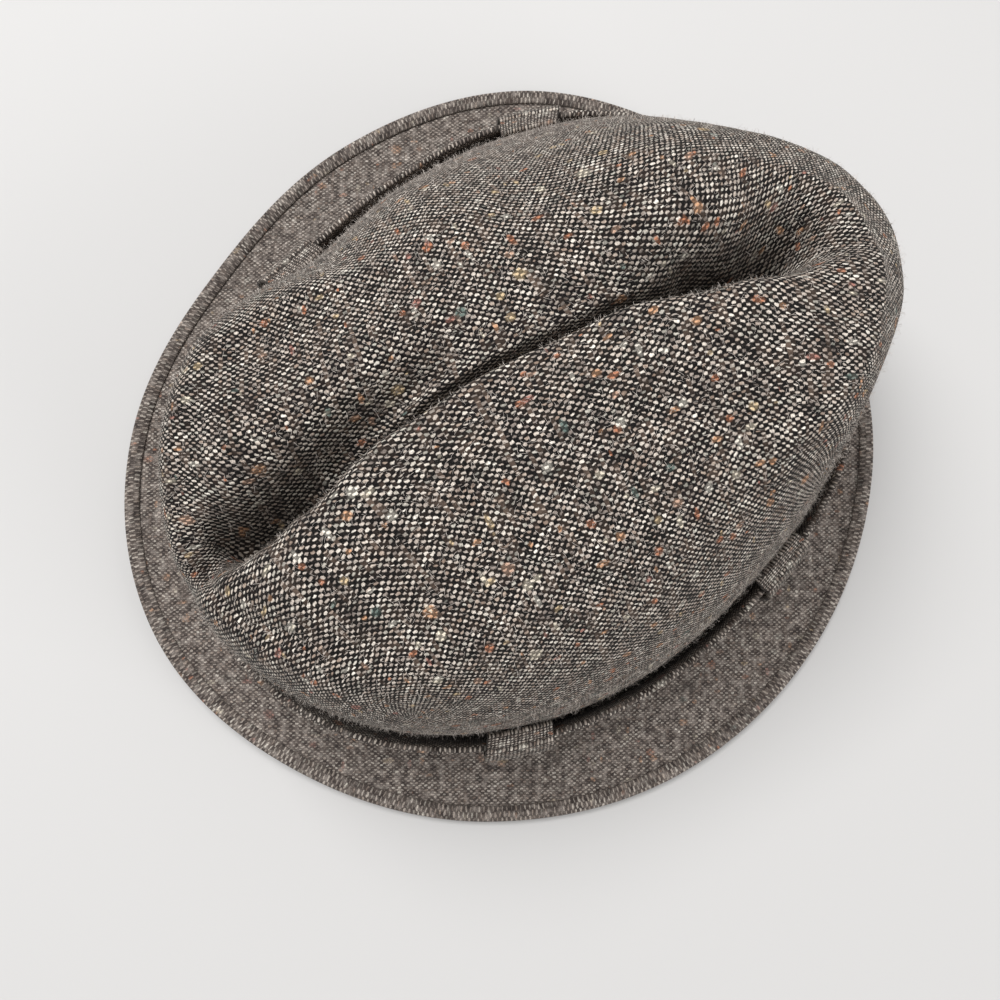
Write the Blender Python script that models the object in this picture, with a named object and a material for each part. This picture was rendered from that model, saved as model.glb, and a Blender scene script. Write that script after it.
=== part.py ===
"""A soft tweed trilby lying on its short brim, with a creased crown, a folded band and four band loops.

Metres, +Z up. The front of the hat faces -Y, the wearer's left is +X, and the brim rests at z = 0.
"""

import math

import bmesh
import bpy

# Cloth
CROWN_CLOTH = 0.0020
BRIM_CLOTH = 0.0024
BINDING_CLOTH = 0.0010
BAND_CLOTH = 0.0020
LOOP_CLOTH = 0.0015
SEAM_GAP = 0.0003

# Crown: its foot is an oval, turned a little from straight ahead towards the wearer's left
FOOT_LENGTH = 0.1986
FOOT_WIDTH = 0.1720
FOOT_TURN = math.radians(13)
CROWN_HEIGHT = 0.096
CREASE_LENGTH = 0.140
CREASE_BACKWARD = 0.006
CREASE_ASIDE = 0.001

# Brim and the binding folded over its edge
BRIM_WIDTH = 0.032
BRIM_RISE = 0.0085
BRIM_BACK_LIFT = 0.004
BINDING_WIDTH = 0.005
BINDING_ROUNDING = 1.35

# Band and loops
BAND_HEIGHT = 0.028
BAND_STAND_OFF = 0.0024
BAND_FOLD = 0.94
BAND_FLARE = 1.5
LOOP_WIDTH = 0.019
LOOP_OVERLAP = 0.005
LOOP_BOW = 0.0018
LOOP_FOLD = 0.3

# Mesh fineness: steps round the hat, over the crown's shoulder and down into its crease
STEPS_ROUND = 72
STEPS_SHOULDER = 8
STEPS_CREASE = 9
LOOP_STEPS = 4

# The crown from its foot to its top rim, from the wearer's left round by the back.
# foot: share of the plain oval's radius. reach: share of the foot's radius at the rim.
# height: share of the crown's height. squareness: how upright the wall stays before it rounds over,
# 1 for a plain slope and 2 for a quarter round.
# bulge: how far it leans out above the band, as a share of the foot's radius.
RIM = (
    # angle, foot, reach, height, squareness, bulge
    (0, 0.980, 0.44, 0.95, 1.50, 0.000),
    (30, 0.968, 0.51, 0.93, 1.47, 0.000),
    (60, 1.002, 0.77, 0.86, 2.60, 0.000),
    (90, 1.000, 0.91, 0.78, 3.00, 0.012),
    (120, 1.000, 0.78, 0.89, 2.60, 0.000),
    (150, 0.994, 0.56, 0.97, 2.00, 0.000),
    (180, 0.990, 0.46, 0.98, 1.90, 0.000),
    (210, 0.996, 0.54, 0.99, 1.95, 0.000),
    (240, 1.083, 0.76, 1.00, 1.50, 0.002),
    (270, 1.047, 0.87, 0.94, 1.62, 0.140),
    (300, 1.112, 0.47, 0.99, 1.83, 0.000),
    (330, 1.096, 0.32, 0.97, 1.48, 0.000),
)

# The crease, from its front end to its back end.
# along: share of half the crease's length. aside: share of the foot's width, towards the wearer's left.
# floor: height of the crease's bottom as a share of the crown's height.
# steep_left, steep_right: how sharply each lobe drops into the crease, 2 for a soft hollow.
CREASE = (
    # along, aside, floor, steep_left, steep_right
    (-1.00, 0.010, 0.74, 1.7, 4.0),
    (-0.75, 0.018, 0.69, 2.6, 6.5),
    (-0.40, 0.032, 0.67, 5.5, 8.5),
    (0.00, 0.030, 0.68, 7.5, 8.5),
    (0.40, 0.024, 0.66, 4.5, 8.5),
    (0.75, 0.016, 0.62, 2.0, 7.0),
    (1.00, 0.004, 0.64, 1.6, 4.0),
)

# How blunt the crease's bottom is, 1 for a sharp fold, and how its mesh rings crowd there, 1 for even rings
CREASE_BLUNT = 1.4
CREASE_CROWDING = 1.6

# Rings of the band and of the crown's wall behind it, as shares of the band's height
BAND_RINGS = (0.0, 0.12, 0.55, 1.0)

# How far through the band's cloth the two edges of its rounded top lie
BAND_TOP = (0.3, 0.7)

# Where a loop is bent on its way up the band, as shares of that way
LOOP_RINGS = (0.0, 0.3, 0.6, 0.88)

# Soft dents and second folds in the crown.
# x and y: shares of the foot's half width and half length. length and width: shares of the foot's width.
# turn: degrees from the hat's length towards the wearer's left. depth: share of the crown's height.
DENTS = (
    # x, y, length, width, turn, depth
    (-0.42, -0.30, 0.20, 0.045, 12, 0.024),
    (-0.27, -0.58, 0.17, 0.040, -8, 0.020),
    (-0.55, 0.30, 0.26, 0.110, 20, 0.018),
    (0.47, -0.12, 0.30, 0.080, -10, 0.016),
    (0.60, 0.42, 0.16, 0.090, 30, 0.020),
)

# The brim's edge: width as a share of the brim's width, and lift as a share of the back's lift
BRIM = (
    # angle, width, lift
    (0, 1.095, 0.0),
    (30, 0.965, 0.0),
    (60, 0.940, 0.5),
    (90, 0.920, 1.0),
    (120, 0.810, 0.5),
    (150, 0.945, 0.0),
    (180, 1.095, 0.0),
    (210, 1.100, 0.0),
    (240, 0.785, 0.0),
    (270, 0.770, 0.0),
    (300, 0.650, 0.0),
    (330, 0.880, 0.0),
)

# The brim's section, from the crown to where its flat edge starts.
# out: share of the sloping part. height: share of the brim's rise. lifted: share of the edge's lift.
BRIM_SLOPE = (
    # out, height, lifted
    (0.00, 1.00, 0.00),
    (0.17, 0.78, 0.02),
    (0.36, 0.53, 0.10),
    (0.57, 0.30, 0.27),
    (0.78, 0.11, 0.52),
    (1.00, 0.00, 0.80),
)

# Where each loop stands round the crown
LOOPS = (
    # name, angle
    ("band_loop_front_left", -31),
    ("band_loop_front_right", 215),
    ("band_loop_rear_left", 26),
    ("band_loop_rear_right", 154),
)

TWEED = (0.165, 0.145, 0.130, 1.0)
TWEED_DARK = (0.120, 0.105, 0.095, 1.0)


def cubic(before, start, end, after, share):
    """A smooth curve through four even rows, read between the middle two."""
    slope_start = (end - before) / 2
    slope_end = (after - start) / 2
    rise = end - start
    return (
        start
        + slope_start * share
        + (3 * rise - 2 * slope_start - slope_end) * share**2
        + (slope_start + slope_end - 2 * rise) * share**3
    )


def round_table(table, column, angle):
    """A column of a table whose first column is degrees in even steps round the hat."""
    place = (math.degrees(angle) % 360) / 360 * len(table)
    row = int(place)
    rows = [table[(row + step) % len(table)][column] for step in (-1, 0, 1, 2)]
    return cubic(*rows, place - row)


def along_table(table, column, along):
    """A column of a table whose first column runs from -1 to 1, eased between its rows."""
    for low, high in zip(table, table[1:]):
        if along <= high[0]:
            break
    share = min(max((along - low[0]) / (high[0] - low[0]), 0.0), 1.0)
    eased = share * share * (3 - 2 * share)
    return low[column] + (high[column] - low[column]) * eased


def foot_radius(angle):
    """The crown's outer face at its foot, seen from above."""
    turned = angle + math.pi / 2 - FOOT_TURN
    oval = 1 / math.hypot(
        math.cos(turned) / (FOOT_LENGTH / 2), math.sin(turned) / (FOOT_WIDTH / 2)
    )
    return oval * round_table(RIM, 1, angle)


def brim_width(angle):
    return BRIM_WIDTH * round_table(BRIM, 1, angle)


def plan(angle, radius, height):
    return (radius * math.cos(angle), radius * math.sin(angle), height)


FOOT_HEIGHT = BINDING_CLOTH + SEAM_GAP + BRIM_RISE + BRIM_CLOTH + SEAM_GAP


def rim_height(angle):
    return FOOT_HEIGHT + CROWN_HEIGHT * round_table(RIM, 3, angle)


def wall_radius(angle, height):
    """The crown's outer face at a height, up to the rim."""
    rise = (height - FOOT_HEIGHT) / (rim_height(angle) - FOOT_HEIGHT)
    rise = min(max(rise, 0.0), 1.0)
    square = round_table(RIM, 4, angle)
    reach = round_table(RIM, 2, angle)
    rounding = (1 - rise**square) ** (1 / square)
    lean = round_table(RIM, 5, angle) * math.sin(math.pi * rise**2) ** 2
    return foot_radius(angle) * (reach + (1 - reach) * rounding + lean)


def wall_point(angle, height):
    return plan(angle, wall_radius(angle, height), height)


def wall_heights(angle):
    """Where the wall's rings lie: level with the band and loops, then evenly over the shoulder."""
    heights = [FOOT_HEIGHT + BAND_HEIGHT * share for share in BAND_RINGS]
    heights.append(FOOT_HEIGHT + BAND_HEIGHT + LOOP_OVERLAP)
    full = rim_height(angle) - FOOT_HEIGHT
    square = round_table(RIM, 4, angle)
    first_sweep = math.asin(((heights[-1] - FOOT_HEIGHT) / full) ** (square / 2))
    for step in range(1, STEPS_SHOULDER + 1):
        sweep = first_sweep + (math.pi / 2 - first_sweep) * step / STEPS_SHOULDER
        heights.append(FOOT_HEIGHT + full * math.sin(sweep) ** (2 / square))
    return heights


def crease_point(angle):
    """The point of the crease's bottom that the cloth from this angle runs down to."""
    along = math.sin(angle)
    x = FOOT_WIDTH * along_table(CREASE, 1, along) + CREASE_ASIDE
    y = CREASE_LENGTH / 2 * along + CREASE_BACKWARD
    z = FOOT_HEIGHT + CROWN_HEIGHT * along_table(CREASE, 2, along)
    return (x, y, z)


def lobe_point(angle, share):
    """share runs from 0 at the rim to 1 at the bottom of the crease."""
    rim = wall_point(angle, rim_height(angle))
    floor = crease_point(angle)
    left = along_table(CREASE, 3, math.sin(angle))
    right = along_table(CREASE, 4, math.sin(angle))
    leftness = (1 + math.cos(angle)) / 2
    steep = right + (left - right) * leftness
    inward = 1 - (1 - share) ** CREASE_CROWDING
    drop = 1 - (1 - inward**steep) ** CREASE_BLUNT
    x, y = (rim[i] + (floor[i] - rim[i]) * inward for i in (0, 1))
    return (x, y, rim[2] + (floor[2] - rim[2]) * drop)


def dented(point):
    """A crown point pressed in by every dent."""
    x, y, z = point
    for along_x, along_y, length, width, turn, depth in DENTS:
        dx = x - along_x * FOOT_WIDTH / 2
        dy = y - along_y * FOOT_LENGTH / 2
        turned = math.radians(turn)
        run = dy * math.cos(turned) + dx * math.sin(turned)
        side = dx * math.cos(turned) - dy * math.sin(turned)
        run /= length * FOOT_WIDTH
        side /= width * FOOT_WIDTH
        upper = max(0.0, (z - FOOT_HEIGHT - BAND_HEIGHT) / (CROWN_HEIGHT - BAND_HEIGHT))
        z -= depth * CROWN_HEIGHT * upper * math.exp(-run * run - side * side)
    return (x, y, z)


def angles():
    return [2 * math.pi * step / STEPS_ROUND for step in range(STEPS_ROUND)]


def tweed(name, color):
    material = bpy.data.materials.new(name)
    material.use_nodes = True
    shader = material.node_tree.nodes["Principled BSDF"]
    shader.inputs["Base Color"].default_value = color
    shader.inputs["Roughness"].default_value = 0.95
    shader.inputs["Metallic"].default_value = 0.0
    return material


def add_piece(name, mesh_builder, material, smooth_below=50):
    """One named object from a filled bmesh, with its faces turned out."""
    bmesh.ops.recalc_face_normals(mesh_builder, faces=mesh_builder.faces)
    mesh = bpy.data.meshes.new(name)
    mesh_builder.to_mesh(mesh)
    mesh_builder.free()
    mesh.shade_smooth()
    mesh.set_sharp_from_angle(angle=math.radians(smooth_below))
    mesh.materials.append(material)
    piece = bpy.data.objects.new(name, mesh)
    bpy.context.collection.objects.link(piece)
    return piece


def skin_rings(builder, rings, closed_section):
    """Quads between rings of points. A closed section also joins the last ring to the first."""
    loops = [[builder.verts.new(point) for point in ring] for ring in rings]
    pairs = list(zip(loops, loops[1:]))
    if closed_section:
        pairs.append((loops[-1], loops[0]))
    for lower, upper in pairs:
        count = len(lower)
        for i in range(count):
            j = (i + 1) % count
            builder.faces.new((lower[i], lower[j], upper[j], upper[i]))
    return loops


def build_crown(material):
    """One sheet: up the wall, over the rim and down both sides of the crease, then given its thickness."""
    columns = [
        [dented(wall_point(angle, height)) for height in wall_heights(angle)]
        for angle in angles()
    ]
    rings = [list(ring) for ring in zip(*columns)]
    rings += [
        [dented(lobe_point(angle, step / STEPS_CREASE)) for angle in angles()]
        for step in range(1, STEPS_CREASE)
    ]
    builder = bmesh.new()
    loops = skin_rings(builder, rings, closed_section=False)
    last = loops[-1]
    quarter = STEPS_ROUND // 4
    half = STEPS_ROUND // 2
    floor = {}
    for i in range(-quarter, quarter + 1):
        floor[i] = builder.verts.new(crease_point(2 * math.pi * i / STEPS_ROUND))
    for i in range(-quarter, quarter):
        builder.faces.new((last[i], last[i + 1], floor[i + 1], floor[i]))
        builder.faces.new((last[half - i - 1], last[half - i], floor[i], floor[i + 1]))
    crown = add_piece("crown", builder, material)
    wall = crown.modifiers.new("cloth", "SOLIDIFY")
    wall.thickness = CROWN_CLOTH
    wall.offset = -1.0
    wall.use_even_offset = False
    return crown


def brim_inner_radius(angle):
    return foot_radius(angle) - CROWN_CLOTH


def brim_outer_radius(angle):
    """The brim sheet's own edge, inside the fold of its binding."""
    return foot_radius(angle) + brim_width(angle) - BINDING_CLOTH - SEAM_GAP


def brim_rows():
    """The brim's section over its whole width, in shares, with the flat edge that the binding holds."""
    sloping = 1 - (BINDING_WIDTH + BRIM_CLOTH) / BRIM_WIDTH
    rows = [(out * sloping, height, lifted) for out, height, lifted in BRIM_SLOPE]
    return rows + [(1.0, 0.0, 1.0)]


def brim_underside(angle, share):
    """Height of the brim's lower face, share from 0 at the crown to 1 at the edge."""
    rows = brim_rows()
    for low, high in zip(rows, rows[1:]):
        if share <= high[0]:
            break
    part = (share - low[0]) / (high[0] - low[0])
    height, lifted = (low[i] + (high[i] - low[i]) * part for i in (1, 2))
    lift = BRIM_BACK_LIFT * max(0.0, round_table(BRIM, 2, angle))
    return BINDING_CLOTH + SEAM_GAP + BRIM_RISE * height + lift * lifted


def brim_radius(angle, share):
    inner = brim_inner_radius(angle)
    return inner + (brim_outer_radius(angle) - inner) * share


def build_brim(material):
    """The stiffened sheet from the crown's foot to the edge, as one closed section swept round."""
    shares = [row[0] for row in brim_rows()]
    section = [(share, 0.0) for share in shares]
    section += [(share, BRIM_CLOTH) for share in reversed(shares)]
    rings = [
        [
            plan(angle, brim_radius(angle, share), brim_underside(angle, share) + up)
            for angle in angles()
        ]
        for share, up in section
    ]
    builder = bmesh.new()
    skin_rings(builder, rings, closed_section=True)
    return add_piece("brim", builder, material)


def build_binding(material):
    """A strip folded over the brim's edge, with an even top and bottom lip."""
    tall = BRIM_CLOTH + 2 * SEAM_GAP
    corner = BINDING_ROUNDING * BINDING_CLOTH
    section = (
        # distance in from the outermost point, height above the strip's underside
        (BINDING_WIDTH, 0.0),
        (corner, 0.0),
        (0.0, BINDING_CLOTH),
        (0.0, tall + BINDING_CLOTH),
        (corner, tall + 2 * BINDING_CLOTH),
        (BINDING_WIDTH, tall + 2 * BINDING_CLOTH),
        (BINDING_WIDTH, tall + BINDING_CLOTH),
        (BINDING_CLOTH, tall + BINDING_CLOTH),
        (BINDING_CLOTH, BINDING_CLOTH),
        (BINDING_WIDTH, BINDING_CLOTH),
    )
    rings = []
    for inward, up in section:
        ring = []
        for angle in angles():
            radius = foot_radius(angle) + brim_width(angle) - inward
            span = brim_outer_radius(angle) - brim_inner_radius(angle)
            share = (radius - brim_inner_radius(angle)) / span
            lift = brim_underside(angle, share) - BINDING_CLOTH - SEAM_GAP
            ring.append(plan(angle, radius, up + lift))
        rings.append(ring)
    builder = bmesh.new()
    skin_rings(builder, rings, closed_section=True)
    return add_piece("brim_binding", builder, material)


def band_foot_height(angle, radius):
    """Just above the brim's upper face at this radius."""
    inner = brim_inner_radius(angle)
    share = (radius - inner) / (brim_outer_radius(angle) - inner)
    return brim_underside(angle, share) + BRIM_CLOTH + SEAM_GAP


def band_inner_radius(angle, share):
    """The band's inner face, from its foot, share 0, to its free top edge, share 1."""
    height = FOOT_HEIGHT + BAND_HEIGHT * share
    stand_off = SEAM_GAP + (BAND_STAND_OFF - SEAM_GAP) * share**BAND_FLARE
    return wall_radius(angle, height) + stand_off


def build_band(material):
    """A folded strip round the crown's foot, snug at its foot and standing free at its top."""
    shares = BAND_RINGS[:-1] + (BAND_FOLD,)
    rings = [(share, 0.0) for share in shares]
    rings += [(1.0, through) for through in BAND_TOP]
    rings += [(share, 1.0) for share in reversed(shares)]
    points = []
    for share, through in rings:
        ring = []
        for angle in angles():
            radius = band_inner_radius(angle, share) + BAND_CLOTH * through
            foot = band_foot_height(angle, band_inner_radius(angle, 0.0) + BAND_CLOTH * through)
            top = FOOT_HEIGHT + BAND_HEIGHT
            ring.append(plan(angle, radius, foot + (top - foot) * share))
        points.append(ring)
    builder = bmesh.new()
    skin_rings(builder, points, closed_section=True)
    return add_piece("hat_band", builder, material)


def band_outer_radius(angle, height):
    share = min(max((height - FOOT_HEIGHT) / BAND_HEIGHT, 0.0), 1.0)
    return band_inner_radius(angle, share) + BAND_CLOTH


def loop_path(angle):
    """The strap's underside from the brim up the band, over its top edge and down to the crown's wall."""
    top = FOOT_HEIGHT + BAND_HEIGHT
    foot_at = band_outer_radius(angle, FOOT_HEIGHT) + SEAM_GAP
    foot = band_foot_height(angle, foot_at)
    path = []
    for share in LOOP_RINGS:
        height = foot + (top - foot) * share
        bow = LOOP_BOW * math.sin(math.pi * share)
        path.append((band_outer_radius(angle, height) + SEAM_GAP + bow, height))
    over = top + SEAM_GAP
    edge = band_inner_radius(angle, 1.0)
    path.append((edge + BAND_CLOTH, over))
    path.append((edge + LOOP_FOLD * BAND_CLOTH, over + LOOP_FOLD * LOOP_CLOTH))
    end = top + LOOP_OVERLAP
    path.append((wall_radius(angle, end) + SEAM_GAP, end))
    return path


def build_loop(name, degrees, material):
    """A short strap over the band, as a strip of even thickness swept across its width."""
    middle = math.radians(degrees)
    spread = LOOP_WIDTH / (foot_radius(middle) + BAND_CLOTH)
    across = [middle + spread * (step / LOOP_STEPS - 0.5) for step in range(LOOP_STEPS + 1)]
    builder = bmesh.new()
    columns = []
    for angle in across:
        under = loop_path(angle)
        over = []
        for i, (radius, height) in enumerate(under):
            before = under[max(i - 1, 0)]
            after = under[min(i + 1, len(under) - 1)]
            run = after[0] - before[0]
            rise = after[1] - before[1]
            length = math.hypot(run, rise)
            flat_foot = 0.0 if i == 0 else -run / length
            over.append(
                (radius + LOOP_CLOTH * rise / length, height + LOOP_CLOTH * flat_foot)
            )
        outline = under + over[::-1]
        columns.append([builder.verts.new(plan(angle, *point)) for point in outline])
    count = len(columns[0])
    for one, other in zip(columns, columns[1:]):
        for i in range(count):
            j = (i + 1) % count
            builder.faces.new((one[i], one[j], other[j], other[i]))
    half = count // 2
    for column in (columns[0], columns[-1]):
        for i in range(half - 1):
            builder.faces.new(
                (column[i], column[i + 1], column[count - 2 - i], column[count - 1 - i])
            )
    return add_piece(name, builder, material)


def centre_on_floor(pieces):
    """The whole hat moved so that its box is centred over the origin."""
    corners = [v.co for piece in pieces for v in piece.data.vertices]
    shift_x = -(min(c.x for c in corners) + max(c.x for c in corners)) / 2
    shift_y = -(min(c.y for c in corners) + max(c.y for c in corners)) / 2
    for piece in pieces:
        for vertex in piece.data.vertices:
            vertex.co.x += shift_x
            vertex.co.y += shift_y


def main():
    for thing in list(bpy.data.objects):
        bpy.data.objects.remove(thing)
    cloth = tweed("tweed", TWEED)
    binding_cloth = tweed("tweed_binding", TWEED_DARK)
    pieces = [
        build_crown(cloth),
        build_brim(cloth),
        build_binding(binding_cloth),
        build_band(cloth),
    ]
    pieces += [build_loop(name, degrees, cloth) for name, degrees in LOOPS]
    centre_on_floor(pieces)


main()
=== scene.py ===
"""The looks of a soft tweed trilby lying on its brim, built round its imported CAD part.

Metres, +Z up. The front of the hat faces -Y, the wearer's left is +X, and the brim rests at z = 0.
"""

import math

import bpy
import numpy as np
from mathutils import Matrix, Vector, noise


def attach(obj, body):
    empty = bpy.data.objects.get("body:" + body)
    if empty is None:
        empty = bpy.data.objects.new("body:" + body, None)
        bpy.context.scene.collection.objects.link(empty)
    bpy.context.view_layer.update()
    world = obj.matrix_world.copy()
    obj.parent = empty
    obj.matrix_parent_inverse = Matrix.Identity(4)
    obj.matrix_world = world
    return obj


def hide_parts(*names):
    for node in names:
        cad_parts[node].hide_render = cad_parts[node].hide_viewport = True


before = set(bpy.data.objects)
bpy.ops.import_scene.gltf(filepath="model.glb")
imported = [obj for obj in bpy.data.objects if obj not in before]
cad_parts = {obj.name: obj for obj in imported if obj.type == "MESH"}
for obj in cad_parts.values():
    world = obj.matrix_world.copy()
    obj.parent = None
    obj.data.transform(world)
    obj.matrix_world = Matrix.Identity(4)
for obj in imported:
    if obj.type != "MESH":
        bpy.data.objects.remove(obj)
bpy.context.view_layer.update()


# Tweed
# One cloth makes the whole hat: plain-woven wool with cream and grey yarns running lengthwise over
# charcoal ones, and small coloured tufts spun in here and there. Each piece lays it its own way.

YARN_ACROSS = 0.00080
YARN_ALONG = 0.00108
TWEED_RELIEF = 0.00022
MM = 1000.0


def node(tree, kind, inputs, output=0, **settings):
    """A new shader node. inputs gives each input a value or a socket; returns one of its outputs."""
    made = tree.nodes.new(kind)
    for name, value in settings.items():
        setattr(made, name, value)
    for key, value in inputs.items():
        if isinstance(value, bpy.types.NodeSocket):
            tree.links.new(value, made.inputs[key])
        else:
            made.inputs[key].default_value = value
    return made.outputs[output]


def calc(tree, operation, *values):
    return node(tree, "ShaderNodeMath", dict(enumerate(values)), operation=operation)


def vector_calc(tree, operation, *values):
    return node(tree, "ShaderNodeVectorMath", dict(enumerate(values)), operation=operation)


def ramp(tree, value, stops, smooth=True):
    """A colour chosen by value from stops of (place, (red, green, blue))."""
    made = tree.nodes.new("ShaderNodeValToRGB")
    made.color_ramp.interpolation = "LINEAR" if smooth else "CONSTANT"
    while len(made.color_ramp.elements) < len(stops):
        made.color_ramp.elements.new(0.5)
    for element, (place, color) in zip(made.color_ramp.elements, stops):
        element.position = place
        element.color = (*color, 1.0)
    tree.links.new(value, made.inputs["Fac"])
    return made.outputs["Color"]


def blend_color(tree, share, first, second):
    made = tree.nodes.new("ShaderNodeMix")
    made.data_type = "RGBA"
    for key, value in ((0, share), (6, first), (7, second)):
        if isinstance(value, bpy.types.NodeSocket):
            tree.links.new(value, made.inputs[key])
        else:
            made.inputs[key].default_value = value
    return made.outputs[2]


def noise_value(tree, place, scale, detail=2.0, output="Fac"):
    return node(
        tree, "ShaderNodeTexNoise", {"Vector": place, "Scale": scale, "Detail": detail}, output
    )


def eased(tree, value, low, high, to_low=0.0, to_high=1.0):
    """value from low to high turned smoothly into to_low to to_high."""
    inputs = {"Value": value, "From Min": low, "From Max": high, "To Min": to_low, "To Max": to_high}
    return node(tree, "ShaderNodeMapRange", inputs, interpolation_type="SMOOTHSTEP")


def tweed_group():
    """Colour and height of the tweed at a place on the flat cloth, in metres across and along its yarns.

    Across and Along are the pitches of the yarns, and Contrast is 1 where no loose wool veils them.
    """
    tree = bpy.data.node_groups.new("Tweed", "ShaderNodeTree")
    for label, kind, value in (
        ("Place", "NodeSocketVector", (0.0, 0.0, 0.0)),
        ("Across", "NodeSocketFloat", YARN_ACROSS),
        ("Along", "NodeSocketFloat", YARN_ALONG),
        ("Contrast", "NodeSocketFloat", 1.0),
    ):
        socket = tree.interface.new_socket(label, in_out="INPUT", socket_type=kind)
        socket.default_value = value
    tree.interface.new_socket("Color", in_out="OUTPUT", socket_type="NodeSocketColor")
    tree.interface.new_socket("Height", in_out="OUTPUT", socket_type="NodeSocketFloat")
    given = tree.nodes.new("NodeGroupInput").outputs

    # The yarns wander a little over centimetres and tremble from crossing to crossing
    place = vector_calc(tree, "MULTIPLY", given["Place"], (MM, MM, 0.0))
    for scale, reach in ((0.05, 1.3), (0.40, 0.50), (1.15, 0.62)):
        shift = noise_value(tree, place, scale, 1.0, output="Color")
        shift = vector_calc(tree, "SUBTRACT", shift, (0.5, 0.5, 0.5))
        shift = vector_calc(tree, "MULTIPLY", shift, (reach, reach, 0.0))
        place = vector_calc(tree, "ADD", place, shift)
    parts = tree.nodes.new("ShaderNodeSeparateXYZ")
    tree.links.new(place, parts.inputs[0])
    across = calc(tree, "DIVIDE", parts.outputs["X"], calc(tree, "MULTIPLY", given["Across"], MM))
    along = calc(tree, "DIVIDE", parts.outputs["Y"], calc(tree, "MULTIPLY", given["Along"], MM))
    column = calc(tree, "FLOOR", across)
    row = calc(tree, "FLOOR", along)
    side = calc(tree, "SUBTRACT", calc(tree, "FRACT", across), 0.5)
    run = calc(tree, "SUBTRACT", calc(tree, "FRACT", along), 0.5)
    odd = calc(tree, "FLOORED_MODULO", calc(tree, "ADD", column, row), 2.0)

    # Every crossing shows an oval of the yarn that lies on top, each a little askew
    crossing = node(tree, "ShaderNodeCombineXYZ", {"X": column, "Y": row, "Z": 3.0})
    chance = tree.nodes.new("ShaderNodeTexWhiteNoise")
    tree.links.new(crossing, chance.inputs["Vector"])
    chances = tree.nodes.new("ShaderNodeSeparateColor")
    tree.links.new(chance.outputs["Color"], chances.inputs[0])
    lean = eased(tree, chances.outputs[0], 0.0, 1.0, -0.30, 0.18)
    side = calc(tree, "ADD", side, calc(tree, "MULTIPLY", run, lean))
    wide = calc(tree, "POWER", calc(tree, "DIVIDE", side, 0.39), 2.0)
    long = calc(tree, "POWER", calc(tree, "DIVIDE", run, 0.60), 2.0)
    size = eased(tree, chances.outputs[1], 0.0, 1.0, 0.78, 1.30)
    reach = calc(tree, "DIVIDE", calc(tree, "SQRT", calc(tree, "ADD", wide, long)), size)
    oval = eased(tree, reach, 0.54, 1.22, 1.0, 0.0)
    light = calc(tree, "MULTIPLY", oval, calc(tree, "SUBTRACT", 1.0, odd))
    dome = calc(tree, "SUBTRACT", 1.0, calc(tree, "POWER", reach, 2.0))
    dome = calc(tree, "SQRT", calc(tree, "MAXIMUM", dome, 0.0))
    lowered = calc(tree, "SUBTRACT", 1.0, calc(tree, "MULTIPLY", odd, 0.45))
    low_dome = calc(tree, "MULTIPLY", dome, lowered)

    # Light yarns: each has its own tone, which drifts along it, and every crossing differs
    yarn = node(
        tree,
        "ShaderNodeCombineXYZ",
        {"X": calc(tree, "MULTIPLY", column, 7.3), "Y": calc(tree, "MULTIPLY", along, 0.11), "Z": 0.0},
    )
    yarn_tone = noise_value(tree, yarn, 1.0)
    patch_tone = noise_value(tree, place, 0.16, 3.0)
    tone = calc(tree, "MULTIPLY", yarn_tone, 0.90)
    tone = calc(tree, "ADD", tone, calc(tree, "MULTIPLY", patch_tone, 1.10))
    tone = calc(tree, "ADD", tone, calc(tree, "MULTIPLY", chances.outputs[2], 0.46))
    tone = calc(tree, "SUBTRACT", tone, 0.64)
    light_color = ramp(
        tree,
        tone,
        (
            (0.10, (0.080, 0.066, 0.058)),
            (0.34, (0.260, 0.218, 0.190)),
            (0.58, (0.500, 0.430, 0.372)),
            (0.82, (0.720, 0.650, 0.570)),
            (1.00, (0.880, 0.820, 0.730)),
        ),
    )
    tint = noise_value(tree, vector_calc(tree, "ADD", yarn, (3.1, 5.7, 9.0)), 1.0)
    brown = eased(tree, tint, 0.54, 0.66, 0.0, 0.55)
    light_color = blend_color(tree, brown, light_color, (0.300, 0.200, 0.140, 1.0))
    green = eased(tree, tint, 0.45, 0.36, 0.0, 0.45)
    light_color = blend_color(tree, green, light_color, (0.270, 0.290, 0.250, 1.0))

    # Charcoal yarns run the other way
    thread = node(
        tree,
        "ShaderNodeCombineXYZ",
        {"X": calc(tree, "MULTIPLY", across, 0.10), "Y": calc(tree, "MULTIPLY", row, 5.9), "Z": 4.0},
    )
    dark_color = ramp(
        tree,
        noise_value(tree, thread, 1.0),
        (
            (0.30, (0.002, 0.002, 0.002)),
            (0.50, (0.006, 0.005, 0.005)),
            (0.60, (0.026, 0.018, 0.014)),
            (0.74, (0.110, 0.078, 0.060)),
        ),
    )
    color = blend_color(tree, light, dark_color, light_color)

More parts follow.
